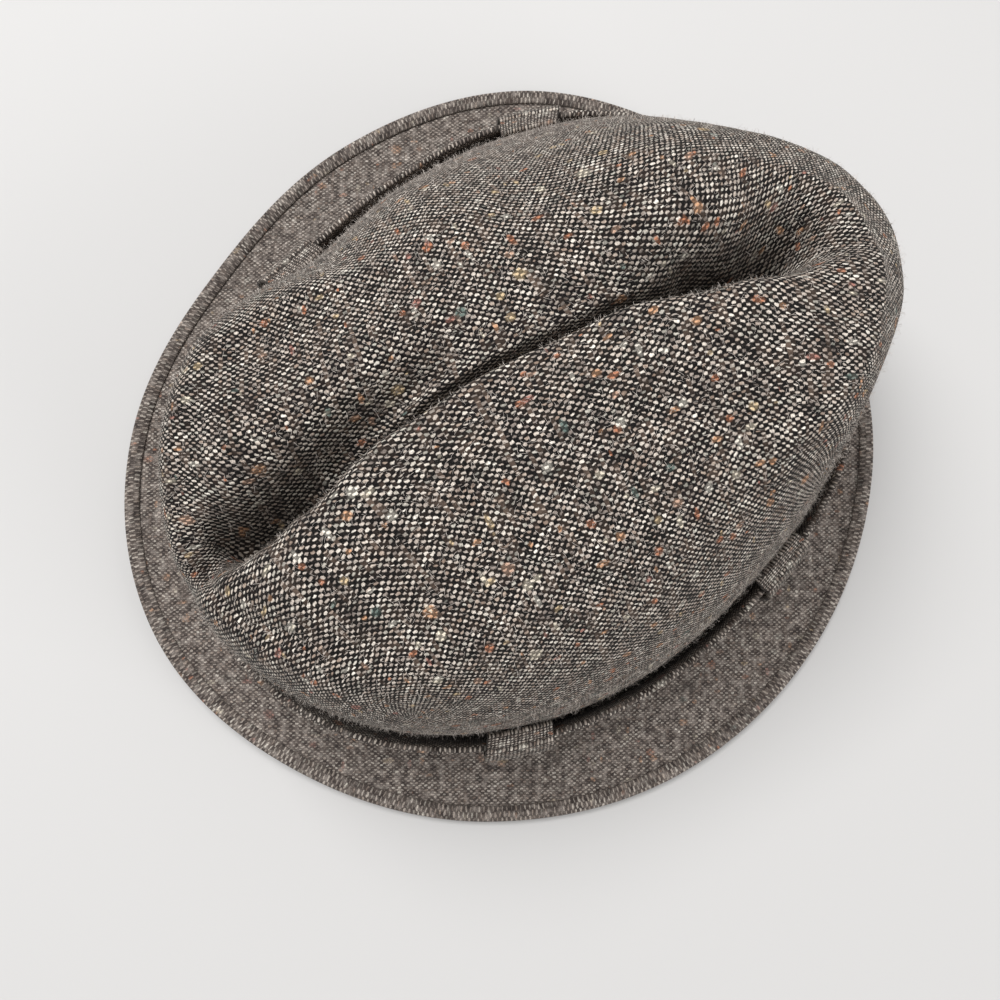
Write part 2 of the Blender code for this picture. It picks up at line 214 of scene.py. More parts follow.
    # Tufts of colour, each a few crossings long
    tufts = (
        # across, along, rarity, size
        (0.150, 0.120, 0.58, 0.135),
        (0.062, 0.055, 0.52, 0.085),
        (0.240, 0.110, 0.80, 0.150),
        (0.110, 0.240, 0.80, 0.150),
    )
    raised = low_dome
    ragged = noise_value(tree, place, 0.9, output="Color")
    ragged = vector_calc(tree, "MULTIPLY", ragged, (0.10, 0.10, 0.0))
    for number, (tuft_across, tuft_along, rarity, size) in enumerate(tufts):
        spot_place = vector_calc(tree, "MULTIPLY", place, (tuft_across, tuft_along, 0.0))
        spot_place = vector_calc(tree, "ADD", spot_place, ragged)
        spot_place = vector_calc(tree, "ADD", spot_place, (17.0 * number, 5.0 * number, 0.0))
        spots = tree.nodes.new("ShaderNodeTexVoronoi")
        spots.voronoi_dimensions = "2D"
        spots.inputs["Scale"].default_value = 1.0
        tree.links.new(spot_place, spots.inputs["Vector"])
        picks = tree.nodes.new("ShaderNodeSeparateColor")
        tree.links.new(spots.outputs["Color"], picks.inputs[0])
        there = calc(tree, "GREATER_THAN", picks.outputs[0], rarity)
        radius = calc(tree, "MULTIPLY", calc(tree, "ADD", picks.outputs[1], 0.35), size)
        share = calc(tree, "DIVIDE", spots.outputs["Distance"], radius)
        inside = calc(tree, "MULTIPLY", eased(tree, share, 0.65, 1.15, 1.0, 0.0), there)
        tuft_color = ramp(
            tree,
            picks.outputs[2],
            (
                (0.00, (0.500, 0.200, 0.105)),
                (0.16, (0.620, 0.340, 0.190)),
                (0.34, (0.840, 0.790, 0.690)),
                (0.58, (0.660, 0.500, 0.300)),
                (0.68, (0.420, 0.190, 0.150)),
                (0.76, (0.780, 0.700, 0.560)),
                (0.90, (0.560, 0.360, 0.260)),
                (0.97, (0.120, 0.170, 0.150)),
            ),
            smooth=False,
        )
        cover = calc(tree, "MULTIPLY", inside, eased(tree, light, 0.0, 1.0, 0.22, 0.95))
        color = blend_color(tree, cover, color, tuft_color)
        raised = calc(tree, "ADD", raised, calc(tree, "MULTIPLY", inside, 0.30))

    # A veil of loose wool, paler and darker in patches, evens out the darkest and lightest places
    wool = noise_value(tree, place, 3.2, 2.0)
    veil = eased(tree, wool, 0.44, 0.80, 0.0, 0.16)
    veil = calc(tree, "ADD", veil, calc(tree, "SUBTRACT", 1.0, given["Contrast"]))
    loose_color = ramp(
        tree,
        noise_value(tree, place, 0.42, 4.0),
        (
            (0.36, (0.088, 0.072, 0.066)),
            (0.50, (0.185, 0.154, 0.136)),
            (0.66, (0.430, 0.375, 0.335)),
        ),
    )
    color = blend_color(tree, veil, color, loose_color)

    # Single fibres catch the light as fine streaks
    fibre_place = vector_calc(tree, "MULTIPLY", place, (7.5, 2.4, 0.0))
    fibre = noise_value(tree, fibre_place, 1.0, 1.0)
    streak = eased(tree, fibre, 0.30, 0.70, 0.62, 1.30)
    color = vector_calc(tree, "SCALE", color)
    tree.links.new(streak, color.node.inputs["Scale"])
    raised = calc(tree, "ADD", raised, calc(tree, "MULTIPLY", wool, 0.35))

    out = tree.nodes.new("NodeGroupOutput").inputs
    tree.links.new(color, out["Color"])
    tree.links.new(raised, out["Height"])
    return tree


tweed = tweed_group()


def tweed_material(name, contrast=1.0, across=YARN_ACROSS, along=YARN_ALONG):
    material = bpy.data.materials.new(name)
    material.use_nodes = True
    tree = material.node_tree
    shader = tree.nodes["Principled BSDF"]
    shader.inputs["Roughness"].default_value = 0.92
    shader.inputs["Specular IOR Level"].default_value = 0.15
    shader.inputs["Sheen Weight"].default_value = 0.08
    shader.inputs["Sheen Roughness"].default_value = 0.45
    shader.inputs["Sheen Tint"].default_value = (0.80, 0.76, 0.70, 1.0)
    cloth = tree.nodes.new("ShaderNodeGroup")
    cloth.node_tree = tweed
    cloth.inputs["Contrast"].default_value = contrast
    cloth.inputs["Across"].default_value = across
    cloth.inputs["Along"].default_value = along
    place = node(tree, "ShaderNodeUVMap", {}, uv_map="Cloth")
    tree.links.new(place, cloth.inputs["Place"])
    tree.links.new(cloth.outputs["Color"], shader.inputs["Base Color"])
    bump = node(tree, "ShaderNodeBump", {"Height": cloth.outputs["Height"], "Distance": TWEED_RELIEF})
    tree.links.new(bump, shader.inputs["Normal"])
    return material


# Crown
# One large piece of tweed, steamed over a block into a tall crown and creased lengthwise by hand.
# It is sewn to the brim at its foot. Its top sinks into a tight crease between two soft lobes.

FOOT_LENGTH = 0.1986
FOOT_WIDTH = 0.1720
FOOT_TURN = math.radians(13)
FOOT_HEIGHT = 0.0125
CROWN_HEIGHT = 0.096
CROWN_CLOTH = 0.0020
CREASE_LENGTH = 0.152
CREASE_BACKWARD = 0.006
CREASE_ASIDE = 0.001
CREASE_BLUNT = 1.4
CREASE_CROWDING = 1.6
CREASE_LEAN = 0.004
LOBE_SWELL = 0.003
BAND_HEIGHT = 0.028
CROWN_COLUMNS = 288
WALL_ROWS = 26
LOBE_ROWS = 46
DART_ROWS = 14
DART_ANGLES = (45, 135, 225, 315)
SWELL_PERIOD = 0.034
SWELL_HEIGHT = 0.0024
PUCKER_PERIOD = 0.014
PUCKER_HEIGHT = 0.0011

# Every 30 degrees from the wearer's left round by the back: the foot as a share of the plain oval, the
# rim's reach as a share of the foot, its height as a share of the crown's, the wall's squareness, 1 for a
# plain slope and 2 for a quarter round, and how far it leans out, as a share of the foot
RIM = np.array(
    (
        # foot, reach, height, squareness, bulge
        (0.980, 0.44, 0.95, 1.50, 0.000),
        (0.968, 0.51, 0.93, 1.47, 0.000),
        (1.002, 0.77, 0.86, 2.60, 0.000),
        (1.000, 0.91, 0.78, 3.00, 0.012),
        (1.000, 0.78, 0.89, 2.60, 0.000),
        (0.994, 0.56, 0.97, 2.00, 0.000),
        (0.990, 0.46, 0.98, 1.90, 0.000),
        (0.996, 0.54, 0.99, 1.95, 0.000),
        (1.083, 0.76, 1.00, 1.50, 0.002),
        (1.047, 0.87, 0.94, 1.62, 0.140),
        (1.112, 0.47, 0.99, 1.83, 0.000),
        (1.096, 0.32, 0.97, 1.48, 0.000),
    )
)

# From the crease's front end to its back end: how far along, how far to the wearer's left as a share of the
# foot's width, the bottom's height as a share of the crown's, and how sharply each lobe drops into it
CREASE = np.array(
    (
        # along, aside, floor, steep_left, steep_right
        (-1.00, -0.044, 0.74, 1.6, 16.0),
        (-0.75, -0.001, 0.56, 11.0, 26.0),
        (-0.40, 0.018, 0.66, 90.0, 70.0),
        (0.00, 0.019, 0.68, 130.0, 80.0),
        (0.40, 0.009, 0.62, 80.0, 60.0),
        (0.75, -0.022, 0.50, 30.0, 30.0),
        (0.88, -0.034, 0.54, 12.0, 22.0),
        (1.00, -0.047, 0.66, 1.5, 16.0),
    )
)

# Folds and dents: x and y as shares of the foot's half width and half length, length and width as shares of
# its width, turn in degrees, depth as a share of the crown's height. Those marked 1 or -1 end in a sharp
# edge along their right or left side
DENTS = (
    # x, y, length, width, turn, depth, sharp
    (-0.24, -0.14, 0.150, 0.050, -5, 0.036, -1),
    (-0.27, -0.68, 0.115, 0.030, 26, 0.016, 1),
    (-0.36, -0.42, 0.070, 0.045, 0, 0.022, 0),
    (-0.55, 0.30, 0.260, 0.110, 20, 0.018, 0),
    (0.47, -0.12, 0.300, 0.080, -10, 0.016, 0),
    (0.60, 0.42, 0.160, 0.090, 30, 0.020, 0),
    (-0.030, 0.610, 0.220, 0.050, -12, 0.27, 1),
    (-0.045, -0.570, 0.140, 0.055, 14, 0.16, 1),
)
DENT_EDGE = 0.0012


def curve(before, start, end, after, share):
    """A smooth curve through four even values, read between the middle two."""
    slope_start = (end - before) / 2
    slope_end = (after - start) / 2
    rise = end - start
    bend = (3 * rise - 2 * slope_start - slope_end) * share**2
    bend = bend + (slope_start + slope_end - 2 * rise) * share**3
    return start + slope_start * share + bend


def round_values(column, angle):
    """A column of twelve values in even steps round the hat, read smoothly at these angles."""
    place = (np.asarray(angle) / (2 * math.pi)) % 1.0 * len(column)
    row = np.floor(place).astype(int)
    four = [column[(row + step) % len(column)] for step in (-1, 0, 1, 2)]
    return curve(*four, place - row)


def along_values(column, along):
    """A column of the crease's table, eased between its rows."""
    places = CREASE[:, 0]
    along = np.clip(along, -1.0, 1.0)
    row = np.clip(np.searchsorted(places, along) - 1, 0, len(places) - 2)
    share = (along - places[row]) / (places[row + 1] - places[row])
    share = share * share * (3 - 2 * share)
    return CREASE[row, column] + (CREASE[row + 1, column] - CREASE[row, column]) * share


def foot_radius(angle):
    turned = angle + math.pi / 2 - FOOT_TURN
    oval = 1 / np.hypot(np.cos(turned) / (FOOT_LENGTH / 2), np.sin(turned) / (FOOT_WIDTH / 2))
    return oval * round_values(RIM[:, 0], angle)


def rim_height(angle):
    return FOOT_HEIGHT + CROWN_HEIGHT * round_values(RIM[:, 2], angle)


def wall_radius(angle, height):
    """The crown's outer face at a height, up to the rim."""
    rise = np.clip((height - FOOT_HEIGHT) / (rim_height(angle) - FOOT_HEIGHT), 0.0, 1.0)
    square = round_values(RIM[:, 3], angle)
    reach = round_values(RIM[:, 1], angle)
    rounding = (1 - rise**square) ** (1 / square)
    lean = round_values(RIM[:, 4], angle) * np.sin(math.pi * rise**2) ** 2
    return foot_radius(angle) * (reach + (1 - reach) * rounding + lean)


def plan(angle, radius, height):
    """Points from polar values, stacked in the last axis."""
    x, y, z = np.broadcast_arrays(radius * np.cos(angle), radius * np.sin(angle), height)
    return np.stack([x, y, z], axis=-1)


def wall_points(angle, share):
    """share runs from 0 at the foot to 1 at the rim, with even rows up the wall and over its shoulder."""
    full = rim_height(angle) - FOOT_HEIGHT
    height = FOOT_HEIGHT + full * np.sin(share * math.pi / 2) ** (2 / round_values(RIM[:, 3], angle))
    return plan(angle, wall_radius(angle, height), height)


def crease_lean(angle):
    """How far the bottom of the crease lies to the right of its mouth."""
    return CREASE_LEAN * np.cos(angle) ** 2


def crease_points(angle):
    along = np.sin(angle)
    x = FOOT_WIDTH * along_values(1, along) + CREASE_ASIDE
    y = CREASE_LENGTH / 2 * along + CREASE_BACKWARD
    z = FOOT_HEIGHT + CROWN_HEIGHT * along_values(2, along)
    return np.stack(np.broadcast_arrays(x, y, z), axis=-1)


def lobe_points(angle, share):
    """share runs from 0 at the rim to 1 at the bottom of the crease."""
    rim = wall_points(angle, 1.0)
    floor = crease_points(angle)
    leftness = np.clip((np.cos(angle) + 0.25) / 0.32, 0.0, 1.0)
    left = along_values(3, np.sin(angle))
    right = along_values(4, np.sin(angle))
    steep = right + (left - right) * leftness
    inward = 1 - (1 - share) ** CREASE_CROWDING
    drop = 1 - (1 - inward**steep) ** CREASE_BLUNT
    points = rim + (floor - rim) * inward
    points[..., 2] = rim[..., 2] + (floor[..., 2] - rim[..., 2]) * drop
    points[..., 2] += LOBE_SWELL * np.sin(math.pi * inward) * (1 - drop)
    points[..., 0] -= crease_lean(angle) * drop
    return points


def dented(points):
    """Crown points pressed in by every dent."""
    points = points.copy()
    for along_x, along_y, length, width, turn, depth, sharp in DENTS:
        dx = points[..., 0] - along_x * FOOT_WIDTH / 2
        dy = points[..., 1] - along_y * FOOT_LENGTH / 2
        turned = math.radians(turn)
        run = (dy * math.cos(turned) + dx * math.sin(turned)) / (length * FOOT_WIDTH)
        side = (dx * math.cos(turned) - dy * math.sin(turned)) / (width * FOOT_WIDTH)
        upper = (points[..., 2] - FOOT_HEIGHT - BAND_HEIGHT) / (CROWN_HEIGHT - BAND_HEIGHT)
        upper = np.maximum(0.0, upper)
        pressed = depth * CROWN_HEIGHT * upper * np.exp(-run * run - side * side)
        if sharp:
            pressed = pressed / (1 + np.exp(-sharp * side * width * FOOT_WIDTH / DENT_EDGE))
        points[..., 2] -= pressed
    return points


def uneven(points, period, height):
    """Points raised or lowered a little, as hand-pressed cloth is."""
    moved = points.copy()
    moved[:, 2] += height * np.array([noise.noise(Vector(p) / period) for p in points])
    return moved


def softened(points):
    """The crown's top with low swells and small puckers."""
    return uneven(uneven(points, SWELL_PERIOD, SWELL_HEIGHT), PUCKER_PERIOD, PUCKER_HEIGHT)


def mesh_object(name, points, faces, material):
    """A smooth-shaded piece from its points and faces."""
    mesh = bpy.data.meshes.new(name)
    mesh.from_pydata([tuple(p) for p in points], [], faces)
    mesh.update()
    mesh.shade_smooth()
    mesh.materials.append(material)
    piece = bpy.data.objects.new(name, mesh)
    bpy.context.collection.objects.link(piece)
    return piece


def thicken(piece, thickness, offset):
    """Gives a sheet its thickness: offset -1 puts it all inside the drawn face, 0 half on each side."""
    wall = piece.modifiers.new("cloth", "SOLIDIFY")
    wall.thickness = thickness
    wall.offset = offset
    wall.use_even_offset = False
    return piece


def crown_mesh():
    angle = np.arange(CROWN_COLUMNS) * 2 * math.pi / CROWN_COLUMNS
    rows = [dented(wall_points(angle, row / WALL_ROWS)) for row in range(WALL_ROWS + 1)]
    rows += [dented(lobe_points(angle, row / LOBE_ROWS)) for row in range(1, LOBE_ROWS)]
    quarter, half = CROWN_COLUMNS // 4, CROWN_COLUMNS // 2
    half_round = 2 * math.pi * np.arange(-quarter, quarter + 1) / CROWN_COLUMNS
    floor = crease_points(half_round)
    floor[:, 0] -= crease_lean(half_round)
    points = np.concatenate([softened(row) for row in rows[WALL_ROWS // 2 :]] + [floor])
    points = np.concatenate(rows[: WALL_ROWS // 2] + [points])
    faces = []
    for row in range(len(rows) - 1):
        for i in range(CROWN_COLUMNS):
            j = (i + 1) % CROWN_COLUMNS
            low, high = row * CROWN_COLUMNS, (row + 1) * CROWN_COLUMNS
            faces.append((low + i, low + j, high + j, high + i))
    last = (len(rows) - 1) * CROWN_COLUMNS
    deep = len(rows) * CROWN_COLUMNS + quarter
    for i in range(-quarter, quarter):
        this, following = i % CROWN_COLUMNS, (i + 1) % CROWN_COLUMNS
        faces.append((last + this, last + following, deep + i + 1, deep + i))
        faces.append((last + half - i - 1, last + half - i, deep + i, deep + i + 1))
    return points, faces, deep, quarter


def lay_cloth(piece, seams, first, last):
    """Spreads the piece flat in metres, open at these seams, its first to last point along the yarns."""
    mesh = piece.data
    keys = {tuple(sorted(pair)) for pair in seams}
    for edge in mesh.edges:
        edge.use_seam = tuple(sorted(edge.vertices)) in keys
    bpy.context.view_layer.objects.active = piece
    piece.select_set(True)
    bpy.ops.object.mode_set(mode="EDIT")
    bpy.ops.mesh.select_all(action="SELECT")
    bpy.ops.uv.unwrap(method="MINIMUM_STRETCH", margin=0.0)
    bpy.ops.object.mode_set(mode="OBJECT")
    layer = mesh.uv_layers.active
    layer.name = "Cloth"
    flat = np.zeros(len(mesh.loops) * 2, np.float32)
    layer.data.foreach_get("uv", flat)
    flat = flat.reshape(-1, 2)
    corners = np.array([tuple(polygon.loop_indices) for polygon in mesh.polygons])
    corner = flat[corners]
    following = np.roll(corner, -1, 1)
    twice_area = (corner[..., 0] * following[..., 1] - corner[..., 1] * following[..., 0]).sum(1)
    drawn = abs(twice_area).sum() / 2
    real = sum(polygon.area for polygon in mesh.polygons)
    flat = flat * math.sqrt(real / drawn)
    place = {}
    for loop in mesh.loops:
        place.setdefault(loop.vertex_index, loop.index)
    line = flat[place[last]] - flat[place[first]]
    turn = math.pi / 2 - math.atan2(line[1], line[0])
    turned = np.array(((math.cos(turn), math.sin(turn)), (-math.sin(turn), math.cos(turn))))
    layer.data.foreach_set("uv", (flat @ turned).astype(np.float32).ravel())


def crown_material():
    """Tweed whose nap is brushed thicker down the left wall, so the weave shows less there."""
    material = tweed_material("Tweed crown")
    tree = material.node_tree
    spot = tree.nodes.new("ShaderNodeSeparateXYZ")
    tree.links.new(node(tree, "ShaderNodeTexCoord", {}, "Object"), spot.inputs[0])
    low = eased(tree, spot.outputs["Z"], 0.052, 0.096, 0.50, 0.0)
    aside = eased(tree, spot.outputs["X"], 0.022, 0.045)
    shown = calc(tree, "SUBTRACT", 1.0, calc(tree, "MULTIPLY", low, aside))
    cloth = next(part for part in tree.nodes if part.type == "GROUP")
    tree.links.new(shown, cloth.inputs["Contrast"])
    return material


def build_crown():
    points, faces, deep, quarter = crown_mesh()
    crown = mesh_object("crown_cloth", points, faces, crown_material())
    seams = []
    for corner in DART_ANGLES:
        column = round(CROWN_COLUMNS * corner / 360)
        for row in range(DART_ROWS):
            seams.append((row * CROWN_COLUMNS + column, (row + 1) * CROWN_COLUMNS + column))
    lay_cloth(crown, seams, deep - quarter // 2, deep + quarter // 2)
    return thicken(crown, CROWN_CLOTH, -1.0)


crown = build_crown()
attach(crown, "root")
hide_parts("crown")


# Brim
# Two layers of tweed stiffened together into one short sheet, sewn round the crown's foot.
# It slopes down from the crown and lies almost flat at its edge, a little lifted at the back.

BRIM_CLOTH = 0.0024
BRIM_WIDTH = 0.032
BRIM_RISE = 0.0085
BRIM_BACK_LIFT = 0.004
BRIM_UNDERSIDE = 0.0013
BINDING_WIDTH = 0.005
BINDING_CLOTH = 0.0010
SEAM_GAP = 0.0003
BRIM_SWELL_PERIOD = 0.022
BRIM_SWELL_HEIGHT = 0.0007
BRIM_COLUMNS = 288
BRIM_ROWS = 22
BRIM_WEAVE = ((0.880, -0.455), (-0.463, -0.885))
BRIM_YARN_ACROSS = 0.00072
BRIM_YARN_ALONG = 0.00095
BRIM_CONTRAST = 0.46

# Every 30 degrees: the brim's width as a share of BRIM_WIDTH, and its lift
BRIM = np.array(
    (
        # width, lift
        (1.095, 0.0),
        (0.965, 0.0),
        (0.940, 0.5),
        (0.920, 1.0),
        (0.810, 0.5),
        (0.945, 0.0),
        (1.095, 0.0),
        (1.100, 0.0),
        (0.785, 0.0),
        (0.770, 0.0),
        (0.650, 0.0),
        (0.880, 0.0),
    )
)


def brim_width(angle):
    return BRIM_WIDTH * round_values(BRIM[:, 0], angle)


def brim_inner_radius(angle):
    return foot_radius(angle) - CROWN_CLOTH


def brim_outer_radius(angle):
    return foot_radius(angle) + brim_width(angle) - BINDING_CLOTH - SEAM_GAP


def brim_underside(angle, share):
    """Height of the brim's lower face, share from 0 at the crown to 1 at the edge."""
    sloping = 1 - (BINDING_WIDTH + BRIM_CLOTH) / BRIM_WIDTH
    out = np.minimum(share / sloping, 1.0)
    flat_part = np.maximum(share - sloping, 0.0) / (1 - sloping)
    lifted = 0.8 * out**2 + 0.2 * flat_part
    lift = BRIM_BACK_LIFT * np.maximum(0.0, round_values(BRIM[:, 1], angle))
    return BRIM_UNDERSIDE + BRIM_RISE * (1 - out) ** 1.35 + lift * lifted


def swept(name, rings, cloth_places, material, closed=True):
    """A ring-shaped piece from rings of points and each point's place on the flat cloth."""
    count = len(rings[0])
    points = np.concatenate(rings)
    faces, places = [], []
    pairs = len(rings) if closed else len(rings) - 1
    for row in range(pairs):
        other = (row + 1) % len(rings)
        for i in range(count):
            j = (i + 1) % count
            faces.append((row * count + i, row * count + j, other * count + j, other * count + i))
            places += [
                cloth_places[row][i],
                cloth_places[row][i + 1],
                cloth_places[row + 1][i + 1],
                cloth_places[row + 1][i],
            ]
    piece = mesh_object(name, points, faces, material)
    layer = piece.data.uv_layers.new(name="Cloth")
    layer.data.foreach_set("uv", np.array(places, np.float32).ravel())
    return piece


def build_brim():
    angle = np.linspace(0, 2 * math.pi, BRIM_COLUMNS, endpoint=False)
    shares = [row / BRIM_ROWS for row in range(BRIM_ROWS + 1)]
    section = [(share, BRIM_CLOTH) for share in shares] + [(share, 0.0) for share in reversed(shares)]
    rings, places = [], []
    for share, up in section:
        inner = brim_inner_radius(angle)
        radius = inner + (brim_outer_radius(angle) - inner) * share
        ring = plan(angle, radius, brim_underside(angle, share) + up)
        if 0 < share < 0.7 and up:
            ring = uneven(ring, BRIM_SWELL_PERIOD, BRIM_SWELL_HEIGHT)
        rings.append(ring)
        flat = ring[:, :2] @ np.array(BRIM_WEAVE).T
        places.append(np.concatenate([flat, flat[:1]]))
    places.append(places[0])
    material = tweed_material("Tweed brim", BRIM_CONTRAST, BRIM_YARN_ACROSS, BRIM_YARN_ALONG)
    return swept("brim_cloth", rings, places, material)


brim = build_brim()
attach(brim, "root")
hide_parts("brim")


# Brim binding
# A narrow strip of the same tweed, cut on the bias and folded over the brim's edge. Cut that way its
# yarns make short ribs across the edge, and its inner edge is stitched down into a groove.

BINDING_BULGE = 0.0004
BINDING_THINNING = 0.00075
RIB_ACROSS = 0.00075
RIB_ALONG = 0.0019
BINDING_CONTRAST = 0.48
BINDING_STEPS = 8


def round_lengths(ring):
    """How far along a closed ring each of its points lies, and last the whole way round."""
    steps = np.linalg.norm(np.roll(ring, -1, 0) - ring, axis=1)
    return np.concatenate([[0.0], np.cumsum(steps)])


def build_binding():
    angle = np.linspace(0, 2 * math.pi, BRIM_COLUMNS, endpoint=False)
    tall = BRIM_CLOTH + 2 * SEAM_GAP
    outline = []
    for step in range(BINDING_STEPS + 1):
        share = step / BINDING_STEPS
        inward = BINDING_WIDTH * (1 - share) + BINDING_CLOTH * share
        puff = BINDING_BULGE * math.sin(math.pi * share)
        thinned = BINDING_THINNING * (1 - share) ** 3
        outline.append((inward, tall + BINDING_CLOTH * 2 + puff - thinned))
    for step in range(1, BINDING_STEPS):
        turn = math.pi * step / BINDING_STEPS
        half = (tall + 2 * BINDING_CLOTH) / 2
        outline.append((BINDING_CLOTH * (1 - math.sin(turn)), half + half * math.cos(turn)))
    outline += [(BINDING_CLOTH, 0.0), (BINDING_WIDTH, 0.0), (BINDING_WIDTH, BINDING_CLOTH)]
    outline += [(BINDING_CLOTH, BINDING_CLOTH), (BINDING_CLOTH, tall + BINDING_CLOTH)]
    outline += [(BINDING_WIDTH, tall + BINDING_CLOTH)]
    edge = foot_radius(angle) + brim_width(angle)
    around = round_lengths(plan(angle, edge, 0.0))
    span = brim_outer_radius(angle) - brim_inner_radius(angle)
    rings, places, across = [], [], 0.0
    for number, (inward, up) in enumerate(outline + outline[:1]):
        before = outline[max(number - 1, 0)]
        across += math.hypot(inward - before[0], up - before[1])
        share = (edge - inward - brim_inner_radius(angle)) / span
        lift = brim_underside(angle, share) - BRIM_UNDERSIDE
        if number < len(outline):
            rings.append(plan(angle, edge - inward, up + lift))
        places.append(np.stack([around, np.full_like(around, across)], axis=-1))
    material = tweed_material("Tweed binding", BINDING_CONTRAST, RIB_ACROSS, RIB_ALONG)
    return swept("brim_binding_cloth", rings, places, material)


binding = build_binding()
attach(binding, "root")
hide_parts("brim_binding")


# Hat band
# A strip of tweed folded double, wrapped round the crown's foot with its fold on top.
# It is snug at its foot and stands a little free of the crown at the fold, so a dark gap shows.

BAND_CLOTH = 0.0020
BAND_STAND_OFF = 0.0034
BAND_FLARE = 2.0
BAND_LAYER = 0.0009
BAND_YARN_ACROSS = 0.00070
BAND_YARN_ALONG = 0.00100
BAND_CONTRAST = 0.72
BAND_COLUMNS = 360
BAND_ROWS = 8
FOLD_STEPS = 6


def band_inner_radius(angle, share):
    """The band's inner face, from its foot, share 0, to its free top edge, share 1."""
    stand_off = SEAM_GAP + (BAND_STAND_OFF - SEAM_GAP) * share**BAND_FLARE
    return wall_radius(angle, FOOT_HEIGHT + BAND_HEIGHT * share) + stand_off


def brim_top(angle, radius):
    inner = brim_inner_radius(angle)
    share = (radius - inner) / (brim_outer_radius(angle) - inner)
    return brim_underside(angle, share) + BRIM_CLOTH


def build_band():
    angle = np.linspace(0, 2 * math.pi, BAND_COLUMNS, endpoint=False)
    top = FOOT_HEIGHT + BAND_HEIGHT
    fold = (BAND_CLOTH - BAND_LAYER) / 2
    path = [(row / BAND_ROWS, 1.0, 0.0) for row in range(BAND_ROWS + 1)]
    for step in range(1, FOLD_STEPS):
        turn = math.pi * step / FOLD_STEPS
        path.append((1.0, math.cos(turn), math.sin(turn)))
    path += [(row / BAND_ROWS, -1.0, 0.0) for row in range(BAND_ROWS, -1, -1)]
    rings = []
    for share, outward, upward in path:
        radius = band_inner_radius(angle, share) + BAND_CLOTH / 2 + fold * outward
        foot = brim_top(angle, radius) + BAND_LAYER
        highest = top - fold - BAND_LAYER / 2
        height = foot + (highest - foot) * share + fold * upward
        rings.append(plan(angle, radius, height))
    around = round_lengths(rings[0])
    risen, places = 0.0, []
    for below, above in zip(rings[:1] + rings, rings):
        risen += float(np.linalg.norm(above - below, axis=1).mean())
        places.append(np.stack([around, np.full_like(around, risen)], axis=-1))
    material = tweed_material("Tweed band", BAND_CONTRAST, BAND_YARN_ACROSS, BAND_YARN_ALONG)
    band = swept("hat_band_cloth", rings, places, material, closed=False)
    return thicken(band, BAND_LAYER, 0.0)


band = build_band()
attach(band, "root")
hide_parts("hat_band")


# Band loops
# Four short straps of tweed cut on the bias. Each rises from the brim beside the band's foot, bows out over
# the band and is stitched to the crown just above it, so that it holds the band's free edge.

LOOP_WIDTH = 0.019
LOOP_CLOTH = 0.0015
LOOP_OVERLAP = 0.005
LOOP_BOW = 0.0028
LOOP_FOLD = 0.3
LOOP_RINGS = (0.0, 0.3, 0.55, 0.75, 0.90)
LOOP_ROWS = 36
LOOP_COLUMNS = 16
LOOP_WEAVE = math.sqrt(0.5) * np.array(((1.0, 1.0), (-1.0, 1.0)))
LOOP_YARN = 0.00074
LOOP_CONTRAST = 0.80

LOOPS = (
    # name, angle
    ("band_loop_front_left", -31),
    ("band_loop_front_right", 215),
    ("band_loop_rear_left", 26),
    ("band_loop_rear_right", 154),
)


def loop_path(angle):
    """The strap's middle line over the band at one angle, as radius and height."""
    top = FOOT_HEIGHT + BAND_HEIGHT
    outside = band_inner_radius(angle, 0.0) + BAND_CLOTH + SEAM_GAP
    foot = brim_top(angle, outside) + SEAM_GAP
    path = []
    for share in LOOP_RINGS:
        height = foot + (top - foot) * share
        risen = np.clip((height - FOOT_HEIGHT) / BAND_HEIGHT, 0.0, 1.0)
        bow = LOOP_BOW * math.sin(math.pi * share**1.6) + SEAM_GAP + LOOP_CLOTH / 2
        path.append((band_inner_radius(angle, risen) + BAND_CLOTH + bow, height))
    edge = band_inner_radius(angle, 1.0)
    over = top + SEAM_GAP + LOOP_CLOTH / 2
    path.append((edge + BAND_CLOTH, over))
    path.append((edge + LOOP_FOLD * BAND_CLOTH, over + LOOP_FOLD * LOOP_CLOTH))
    end = top + LOOP_OVERLAP
    path.append((wall_radius(angle, end) + SEAM_GAP + LOOP_CLOTH / 2, end))
    return np.array(path, float)


def smooth_path(path, count):
    """Points evenly spaced by row number along a smooth curve through the path."""
    rows = np.linspace(0, len(path) - 1, count)
    low = np.minimum(np.floor(rows).astype(int), len(path) - 2)
    share = (rows - low)[:, None]
    padded = np.concatenate([2 * path[:1] - path[1:2], path, 2 * path[-1:] - path[-2:-1]])
    return curve(*(padded[low + step] for step in range(4)), share)


def build_loop(name, degrees, material):
    middle = math.radians(degrees)
    spread = LOOP_WIDTH / float(foot_radius(middle) + BAND_CLOTH)
    points, flat = [], []
    for column in range(LOOP_COLUMNS + 1):
        side = column / LOOP_COLUMNS - 0.5
        angle = middle + spread * side
        path = smooth_path(loop_path(angle), LOOP_ROWS + 1)
        points.append(plan(angle, path[:, 0], path[:, 1]))
        lengths = np.linalg.norm(np.diff(points[-1], axis=0), axis=1)
        run = np.concatenate([[0.0], np.cumsum(lengths)])
        straight = np.stack([np.full_like(run, LOOP_WIDTH * side), run], axis=-1)
        flat.append(straight @ LOOP_WEAVE)
    count = LOOP_ROWS + 1
    faces = []
    for column in range(LOOP_COLUMNS):
        for row in range(LOOP_ROWS):
            first, second = column * count + row, (column + 1) * count + row
            faces.append((first, second, second + 1, first + 1))
    strap = mesh_object(name + "_cloth", np.concatenate(points), faces, material)
    layer = strap.data.uv_layers.new(name="Cloth")
    places = np.concatenate(flat)
    corners = np.array(faces).ravel()
    layer.data.foreach_set("uv", places[corners].astype(np.float32).ravel())
    return thicken(strap, LOOP_CLOTH, 0.0)


